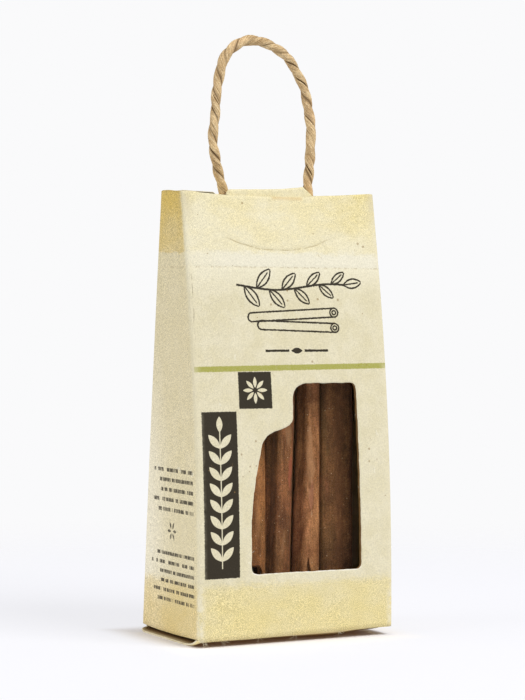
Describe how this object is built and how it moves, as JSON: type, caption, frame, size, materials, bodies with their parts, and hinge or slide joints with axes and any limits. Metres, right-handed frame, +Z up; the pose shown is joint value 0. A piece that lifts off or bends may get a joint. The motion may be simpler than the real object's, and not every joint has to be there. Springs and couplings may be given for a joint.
{
  "type": "windowed card pack of cinnamon sticks with a cord handle",
  "caption": "Shut tapered card pack with a twisted paper cord handle and a film window that shows cinnamon sticks.",
  "frame": {"origin": "middle of the base, on the surface that the pack stands on", "axes": "+Z up; the wide front panel with the window faces -Y; +X is to the right of someone who faces the front"},
  "size_m": [0.064, 0.039, 0.1775],
  "materials": {
    "card": "uncoated flecked card with a grainy yellow print",
    "film": "clear glossy film",
    "paper_cord": "twisted kraft paper",
    "bark": "dry rolled cinnamon bark"
  },
  "bodies": {
    "root": {"carton": "card", "window_film": "film", "handle": "paper_cord", "quill_1": "bark", "quill_2": "bark", "quill_3": "bark", "quill_4": "bark"}
  },
  "joints": []
}
